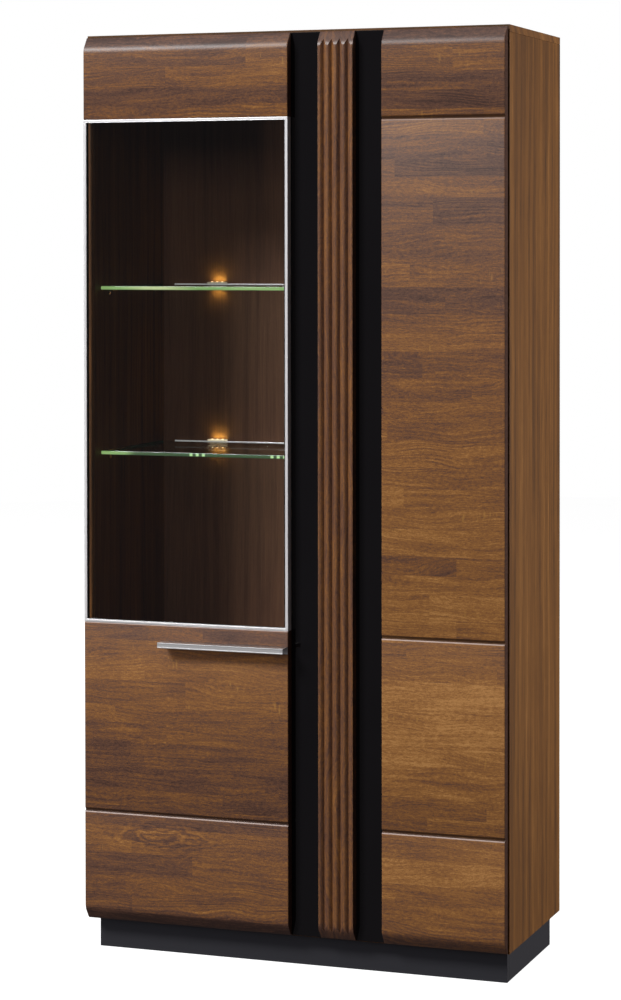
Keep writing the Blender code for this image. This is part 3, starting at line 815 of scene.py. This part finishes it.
def rod(bm, start, end, radius, segments=20, tip_radius=None):
    """Adds a closed rod between two points to a bmesh."""
    start, end = Vector(start), Vector(end)
    line = end - start
    turn = line.to_track_quat("Z", "Y").to_matrix().to_4x4()
    bmesh.ops.create_cone(
        bm,
        cap_ends=True,
        segments=segments,
        radius1=radius,
        radius2=radius if tip_radius is None else tip_radius,
        depth=line.length,
        matrix=Matrix.Translation((start + end) / 2) @ turn,
    )
    return bm


# ------------------------------------------------------------------ wooden fronts
FRONT_SMOOTH = 28


def make_fronts():
    for name, node, body, low, high, rolled, grooves in (
        ("upper_left_front", "left_door_top_panel", "left_door",
         left_top_low, left_top_high, (False, True), ()),
        ("lower_left_front", "left_door_bottom_panel", "left_door",
         left_bottom_low, left_bottom_high, (True, False), GROOVE_HEIGHTS[2:]),
        ("right_front", "right_door_panel", "right_door",
         right_low, right_high, (True, True), GROOVE_HEIGHTS),
    ):
        outline, count = front_outline(low.z, high.z, *rolled, grooves)
        bm = swept_front(outline, count, low.x, high.x)
        piece(name, bm, ["front", "edge"], body, [node], FRONT_SMOOTH)


# ------------------------------------------------------------------ fluted column
FLUTES = 4
FLUTE_PITCH = 0.018
FLUTE_DEPTH = 0.0064
FLUTE_LAND = 0.0020
COLUMN_EDGE = 0.0012


def flute_points(centre, face, segments=20):
    """(x, y) points of one flute: a V whose shoulders round over into the lands."""
    half = (FLUTE_PITCH - FLUTE_LAND) / 2
    points = []
    for step in range(segments + 1):
        share = 2 * step / segments - 1
        points.append((centre + half * share, face + FLUTE_DEPTH * (1 - abs(share)) ** 1.5))
    return points


def roll_back(bm, tip, face, direction):
    """Planes an end of the column away, facet by facet, to the rolled end of the fronts."""
    ends = rolled_end(tip, face, direction)
    for (y, z), (next_y, next_z) in zip(ends, ends[1:]):
        cut = bmesh.ops.bisect_plane(
            bm,
            geom=bm.verts[:] + bm.edges[:] + bm.faces[:],
            plane_co=(0, y, z),
            plane_no=Vector((0, z - next_z, next_y - y)) * direction,
            clear_outer=True,
        )["geom_cut"]
        rim = [item for item in cut if isinstance(item, bmesh.types.BMEdge)]
        bmesh.ops.edgeloop_fill(bm, edges=rim)


def make_column():
    left, right = column_low.x, column_high.x
    face, back = column_low.y, column_high.y
    middle = (left + right) / 2
    edge = COLUMN_EDGE
    outline = [(left, back), (left, face + edge), (left + edge * 0.3, face + edge * 0.3),
               (left + edge, face)]
    for number in range(FLUTES):
        outline += flute_points(middle + (number - (FLUTES - 1) / 2) * FLUTE_PITCH, face)
    outline += [(right - edge, face), (right - edge * 0.3, face + edge * 0.3),
                (right, face + edge), (right, back)]
    bm = extruded(outline, "Z", column_low.z, column_high.z)
    roll_back(bm, column_high.z, face, 1)
    roll_back(bm, column_low.z, face, -1)
    bmesh.ops.recalc_face_normals(bm, faces=bm.faces)
    piece("column_front", bm, ["column"], "root", ["fluted_column"], FRONT_SMOOTH)


# ------------------------------------------------------------------ glazed frame
FRAME_FACE = 0.0064
FRAME_DEPTH = 0.0200
FRAME_WALL = 0.0016
FRAME_LEDGE = 0.0030
FRAME_LINE_FROM = FRAME_FACE - 0.0018
MITRE_GAP = 0.00003
SEAL_LIP = 0.0020


def frame_outline():
    """(inset, y) section of the frame: a flat face, a fine sunk line, and a side wall."""
    face, back = DOOR_FACE, DOOR_FACE + FRAME_DEPTH
    line, sunk, corner = 0.0009, 0.0004, 0.0005
    return eased([
        (0.0, face + corner),
        (corner, face),
        (FRAME_LINE_FROM, face),
        (FRAME_LINE_FROM + line * 0.5, face + sunk),
        (FRAME_LINE_FROM + line, face),
        (FRAME_FACE, face),
        (FRAME_FACE, face + FRAME_LEDGE),
        (FRAME_WALL, face + FRAME_LEDGE),
        (FRAME_WALL, back),
        (0.0, back),
    ], 0.0002)


def mitre_ring(bm, corner, diagonal, section):
    """The corners of an (inset, y) section, drawn across a corner of the frame."""
    ring = []
    for inset, y in section:
        spot = corner + diagonal * inset
        ring.append(bm.verts.new((spot.x, y, spot.y)))
    return ring


def make_frame():
    left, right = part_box("frame_stile_left")[0].x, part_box("frame_stile_right")[1].x
    bottom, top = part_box("frame_rail_bottom")[0].z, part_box("frame_rail_top")[1].z
    spots = ((left, bottom), (left, top), (right, top), (right, bottom))
    corners = [Vector(spot) for spot in spots]
    for number, name in enumerate(("left", "top", "right", "bottom")):
        start, end = corners[number], corners[(number + 1) % 4]
        along = (end - start).normalized()
        inward = Vector((along.y, -along.x))
        bm = bmesh.new()
        rings = [
            bm.faces.new(mitre_ring(bm, corner + way * MITRE_GAP, way + inward, frame_outline()))
            for corner, way in ((start, along), (end, -along))
        ]
        bmesh.ops.bridge_loops(bm, edges=[edge for ring in rings for edge in ring.edges])
        bmesh.ops.recalc_face_normals(bm, faces=bm.faces)
        part = "stile" if name in ("left", "right") else "rail"
        piece(f"glazing_frame_{name}", bm, [f"frame {part}"], "left_door",
              [f"frame_{part}_{name}"], 35)
    make_seal(corners)


def make_seal(corners):
    """Black glazing seal: it lines the frame behind the pane and holds the pane in."""
    bm = bmesh.new()
    inner = FRAME_WALL + 0.0002
    front, back = PANE_BACK + 0.0002, DOOR_FACE + FRAME_DEPTH - 0.0008
    section = ((inner, front), (FRAME_FACE, front), (FRAME_FACE, front + SEAL_LIP),
               (inner + SEAL_LIP, front + SEAL_LIP), (inner + SEAL_LIP, back), (inner, back))
    loops = []
    for corner, diagonal in zip(corners, ((1, 1), (1, -1), (-1, -1), (-1, 1))):
        ring = mitre_ring(bm, corner, Vector(diagonal), section)
        loops.append([bm.edges.new((ring[step - 1], vert)) for step, vert in enumerate(ring)])
    for number, loop in enumerate(loops):
        bmesh.ops.bridge_loops(bm, edges=loops[number - 1] + loop)
    bmesh.ops.recalc_face_normals(bm, faces=bm.faces)
    piece("glazing_seal", bm, ["rubber"], "left_door")


# ------------------------------------------------------------------ handle
LIP_HEIGHT = 0.0115


def make_handle():
    """Edge handle: an angle with a turned-down front lip, and its screws behind the door."""
    wall, top = 0.002, handle_high.z
    front, back = handle_low.y, handle_high.y
    lip_bottom, rear_bottom = top - LIP_HEIGHT, handle_low.z
    bead, sunk = 0.0020, 0.0003
    outline = [
        (front, lip_bottom),
        (front, lip_bottom + bead),
        (front + sunk, lip_bottom + bead + sunk),
        (front + sunk, top - bead - sunk),
        (front, top - bead),
        (front, top),
        (back, top),
        (back, rear_bottom),
        (back - wall, rear_bottom),
        (back - wall, top - wall),
        (front + wall, top - wall),
        (front + wall, lip_bottom),
    ]
    bm = extruded(eased(outline, 0.0005), "X", handle_low.x, handle_high.x)
    for face in bm.faces:
        on_top = face.calc_center_median().z > top - 0.0003
        face.material_index = int(face.normal.z > 0.95 and on_top)
    piece("edge_handle", bm, ["handle", "handle top"], "left_door",
          ["door_handle"], 40)
    screws = bmesh.new()
    inset, drop = 0.016, 0.008
    for x in (handle_low.x + inset, handle_high.x - inset):
        start = Vector((x, DOOR_BACK + 0.0002, top - drop))
        rod(screws, start, start + Vector((0, 0.0012, 0)), 0.0042, 24, 0.0030)
        rod(screws, start + Vector((0, 0.0012, 0)), start + Vector((0, 0.0016, 0)), 0.0016, 6)
    piece("handle_screw_heads", screws, ["nickel"], "left_door", (), 30)


# ------------------------------------------------------------------ glass shelves and lamps
LENS_PITCH = 0.0125
LENS_HEIGHT = 0.0012
LAMP_POWER = {1: 0.0185, -1: 0.0120}
LAMP_GAP = 0.002
LAMP_TILT = math.radians(18)


def make_glass_shelves():
    for level in ("lower", "upper"):
        low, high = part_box(f"glass_shelf_{level}")
        bm = block(bmesh.new(), low, high, 0.0008)
        bmesh.ops.recalc_face_normals(bm, faces=bm.faces)
        for face in bm.faces:
            if face.normal.y < -0.3:
                face.material_index = 1
            elif abs(face.normal.x) > 0.3:
                face.material_index = 2
        looks = ["shelf face", f"{level} edge", "glass end"]
        piece(f"shelf_glass_{level}", bm, looks, "root",
              [f"glass_shelf_{level}"])
        make_lamp(level)
        low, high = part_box(f"shelf_back_rail_{level}")
        bm = block(bmesh.new(), (low.x, low.y, high.z - 0.0032), high, 0.0006)
        piece(f"shelf_rail_{level}", bm, ["rail painted glow"], "root",
              [f"shelf_back_rail_{level}"])


def make_lamp(level):
    """Three lenses above and three below the glass, and the light that comes from them."""
    low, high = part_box(f"light_clip_{level}")
    middle = (low + high) / 2
    lenses = bmesh.new()
    for number in (-1, 0, 1):
        x, y = middle.x + number * LENS_PITCH, middle.y
        for z, up in ((high.z, 1), (low.z, -1)):
            rod(lenses, (x, y, z), (x, y, z + up * LENS_HEIGHT), 0.0026, 16, 0.0018)
    piece(f"lamp_lenses_{level}", lenses, ["lens"], "root")
    for side, up, z in (("above", 1, high.z), ("below", -1, low.z)):
        name = f"lamp_{level}_{side}"
        lamp = area_light(name, 0.024, 0.004, LAMP_POWER[up])
        lamp.data.color = (1.0, 0.75, 0.16)
        lamp.location = (middle.x, high.y - 0.006, z + up * LAMP_GAP)
        lamp.rotation_euler = (math.pi - LAMP_TILT if up > 0 else LAMP_TILT, 0, 0)


# ------------------------------------------------------------------ boards and small fittings
DRESSING = (
    # start of the node's name, its finish, and a slot name if it is rebuilt as an eased board; only
    # whether that name is given is read
    ("side_panel", "upright", "panel_wood"),
    ("back_panel", "back", "panel_wood"),
    ("divider", "inner", "panel_wood"),
    ("loose_shelf", "lying", "panel_wood"),
    ("fixed_shelf", "lying", "panel_wood"),
    ("top_board", "lying", "panel_wood"),
    ("bottom_board", "lying", "panel_wood"),
    ("black_centre_panel", "gloss", "black_gloss"),
    ("plinth", "laminate", "plinth_black"),
    ("light_clip_lower", "lower clip", None),
    ("light_clip_upper", "upper clip", None),
    ("glass_pane", "pane", None),
    ("hinge", "nickel", None),
    ("bracket", "nickel", None),
    ("latch_strike", "nickel", None),
    ("latch_housing", "grey", None),
    ("latch_plunger", "white", None),
    ("light_driver", "white", None),
)


def dress_carcass():
    """Every board gets broken edges; the fittings keep their shape and get their finish."""
    for name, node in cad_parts.items():
        for start, finish, slot in DRESSING:
            if not name.startswith(start):
                continue
            if slot:
                made = block(bmesh.new(), *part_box(name), 0.0005)
                piece(f"{name}_board", made, [finish], "root", [name])
            else:
                node.data.materials.clear()
                node.data.materials.append(finishes[finish])


def make_shelf_pegs():
    """Steel pegs, four under each loose shelf, with a collar against the board they sit in."""
    reach, inset, collar_drop = 0.0082, 0.035, Vector((0, 0, -0.0015))
    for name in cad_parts:
        if not name.startswith("loose_shelf"):
            continue
        low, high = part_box(name)
        left, right = PEG_WALLS["left" if low.x < 0 else "right"]
        pegs = bmesh.new()
        for y in (low.y + inset, high.y - inset):
            for x, inward in ((left, 1), (right, -1)):
                start = Vector((x, y, low.z - PEG_RADIUS - HAIR))
                rod(pegs, start, start + Vector((inward * reach, 0, 0)), PEG_RADIUS, 16)
                collar = start + collar_drop
                rod(pegs, collar, collar + Vector((inward * 0.0010, 0, 0)),
                    PEG_RADIUS + 0.0014, 16)
        piece(f"pegs_{name}", pegs, ["nickel"], "root", (), 40)


CUP_WING = Vector((0.0065, 0, 0.0290))
CUP_SCREW_REACH = 0.0240
HINGE_PLATE = Vector((0, 0.0085, 0.0230))
PLATE_SCREW_REACH = 0.0160
PLATE_DEPTH = 0.037
ADJUSTER_DEPTHS = (0.014, 0.058)


def make_hinge_fittings():
    """Cup wings and screws on the doors, mounting plates and adjusters on the side panels."""
    for node in list(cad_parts):
        if not node.startswith("hinge_"):
            continue
        low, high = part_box(node)
        side = -1 if low.x < 0 else 1
        middle = (low + high) / 2
        fittings = bmesh.new()
        if node.startswith("hinge_cup"):
            body = "left_door" if side < 0 else "right_door"
            x = middle.x - side * 0.0085
            block(fittings, Vector((x, DOOR_BACK + FIT, middle.z)) - CUP_WING,
                  Vector((x, high.y - HAIR, middle.z)) + CUP_WING, 0.0004)
            for z in (middle.z - CUP_SCREW_REACH, middle.z + CUP_SCREW_REACH):
                screw(fittings, Vector((x, high.y - 0.0002, z)), Vector((0, 1, 0)))
        else:
            body = "root"
            inward = Vector((-side, 0, 0))
            wall, arm = (low.x, high.x) if side < 0 else (high.x, low.x)
            near, far = sorted((wall, wall - side * 0.0026))
            y = CARCASS_FRONT + PLATE_DEPTH
            block(fittings, Vector((near, y, middle.z)) - HINGE_PLATE,
                  Vector((far, y, middle.z)) + HINGE_PLATE, 0.0006)
            for z in (middle.z - PLATE_SCREW_REACH, middle.z + PLATE_SCREW_REACH):
                screw(fittings, Vector((wall - side * 0.0025, y, z)), inward)
            for depth in ADJUSTER_DEPTHS:
                screw(fittings, Vector((arm, CARCASS_FRONT + depth, middle.z)), inward)
        piece(f"fittings_{node}", fittings, ["nickel"], body, (), 35)


def screw(bm, place, outward):
    """A low screw head; a raised dot stands in for its cross recess."""
    rod(bm, place, place + outward * 0.0009, 0.0034, 20, 0.0026)
    rod(bm, place + outward * 0.0009, place + outward * 0.0012, 0.0011, 6)


def make_bumpers():
    """Clear pads on the backs of the doors, where they close on the black panel."""
    from_end = 0.035
    for body, bottom, top, x in (
        ("left_door", left_bottom_low.z, left_top_high.z, left_bottom_high.x - 0.0085),
        ("right_door", right_low.z, right_high.z, right_low.x + 0.0085),
    ):
        pads = bmesh.new()
        for z in (bottom + from_end, top - from_end):
            start = Vector((x, DOOR_BACK + FIT, z))
            rod(pads, start, start + Vector((0, 0.0011, 0)), 0.0045, 24, 0.0038)
        piece(f"bumpers_{body}", pads, ["bumper"], body, (), 40)


# ------------------------------------------------------------------ stage, light and camera
STUDIO_DIM = (0.040, 0.038, 0.042)
STUDIO_MIRRORED = (0.088, 0.080, 0.086)


def show_studio(shading, dim_kind, seen):
    """Shows one shader to the camera, and to all other rays the unlit studio: dim for the
    light it gives, a little paler where it is mirrored."""
    mirrored = shading.add("ShaderNodeLightPath", output="Is Glossy Ray")
    colour = shading.mix(mirrored, STUDIO_DIM, STUDIO_MIRRORED)
    unlit = shading.add(dim_kind, None, {"Color": colour})
    direct = shading.add("ShaderNodeLightPath", output="Is Camera Ray")
    shading.surface(shading.add("ShaderNodeMixShader", None, {0: direct, 1: unlit, 2: seen}))


def make_stage():
    pale_floor = Finish("pale_floor")
    pale_floor.set(
        Base_Color=(0.30, 0.30, 0.30),
        Roughness=0.9,
        Specular_IOR_Level=0.0,
        Emission_Color=(1.0, 1.0, 1.0),
        Emission_Strength=0.95,
    )
    lit = Wire(pale_floor, pale_floor.shader.outputs[0])
    show_studio(pale_floor, "ShaderNodeEmission", lit)
    bm = bmesh.new()
    bmesh.ops.create_circle(bm, cap_ends=True, segments=96, radius=9.0)
    bmesh.ops.translate(bm, vec=(0, 2.0, -0.0005), verts=bm.verts)
    closed_object("floor", bm, [pale_floor.material])
    world = bpy.data.worlds.new("studio")
    bpy.context.scene.world = world
    studio = Shading(world)
    white = studio.add("ShaderNodeBackground", None, {"Color": (1.0, 1.0, 1.0)})
    show_studio(studio, "ShaderNodeBackground", white)


def area_light(name, width, height, power):
    data = bpy.data.lights.new(name, "AREA")
    data.shape = "RECTANGLE"
    data.size, data.size_y = width, height
    data.energy = power
    lamp = bpy.data.objects.new(name, data)
    bpy.context.scene.collection.objects.link(lamp)
    return lamp


def softbox(name, place, target, width, height, power, mirrored=True):
    lamp = area_light(name, width, height, power)
    lamp.location = place
    lamp.visible_glossy = mirrored
    aim = Vector(target) - Vector(place)
    lamp.rotation_euler = aim.to_track_quat("-Z", "Y").to_euler()


def make_lights():
    softbox("key_box", (-3.6, -5.8, 6.2), (0.0, 0.0, 1.0), 2.3, 2.3, 710)
    softbox("front_box", (0.5, -6.4, 3.2), (0.0, 0.0, 1.0), 1.8, 1.8, 66, False)
    softbox("fill_box", (-3.6, -4.4, 0.9), (0.0, 0.0, 0.8), 1.4, 1.8, 115, False)
    softbox("side_box", (3.6, 0.8, 1.5), (0.45, 0.05, 0.9), 1.4, 2.4, 108)
    softbox("top_box", (-1.3, -1.7, 5.4), (0.0, -0.2, 1.9), 3.0, 3.0, 36)
    softbox("strip_box", (0.9, 1.0, 4.8), (0.2, -0.1, 1.0), 2.0, 1.4, 48)
    softbox("back_box", (-2.6, 4.2, 2.6), (0.0, 0.2, 1.0), 2.0, 2.0, 130)


CAMERA_PLACE = (2.0552, -5.7314, 1.5477)
CAMERA_PAN = math.radians(19.932)
CAMERA_TILT = math.radians(1.0)
CAMERA_ROLL = math.radians(-0.061)
LENS = 100.22
SHIFT_Y = -0.2083


def make_camera():
    data = bpy.data.cameras.new("camera")
    data.lens = LENS
    data.sensor_width = 36.0
    data.shift_y = SHIFT_Y
    data.clip_end = 100.0
    camera = bpy.data.objects.new("camera", data)
    turn = (
        Matrix.Rotation(CAMERA_PAN, 4, "Z")
        @ Matrix.Rotation(math.pi / 2 - CAMERA_TILT, 4, "X")
        @ Matrix.Rotation(CAMERA_ROLL, 4, "Z")
    )
    camera.matrix_world = Matrix.Translation(CAMERA_PLACE) @ turn
    bpy.context.scene.collection.objects.link(camera)
    bpy.context.scene.camera = camera
    bpy.context.scene.view_settings.view_transform = "Standard"


make_camera()
make_stage()
make_lights()
dress_carcass()
make_shelf_pegs()
make_hinge_fittings()
make_bumpers()
make_fronts()
make_column()
make_frame()
make_handle()
make_glass_shelves()
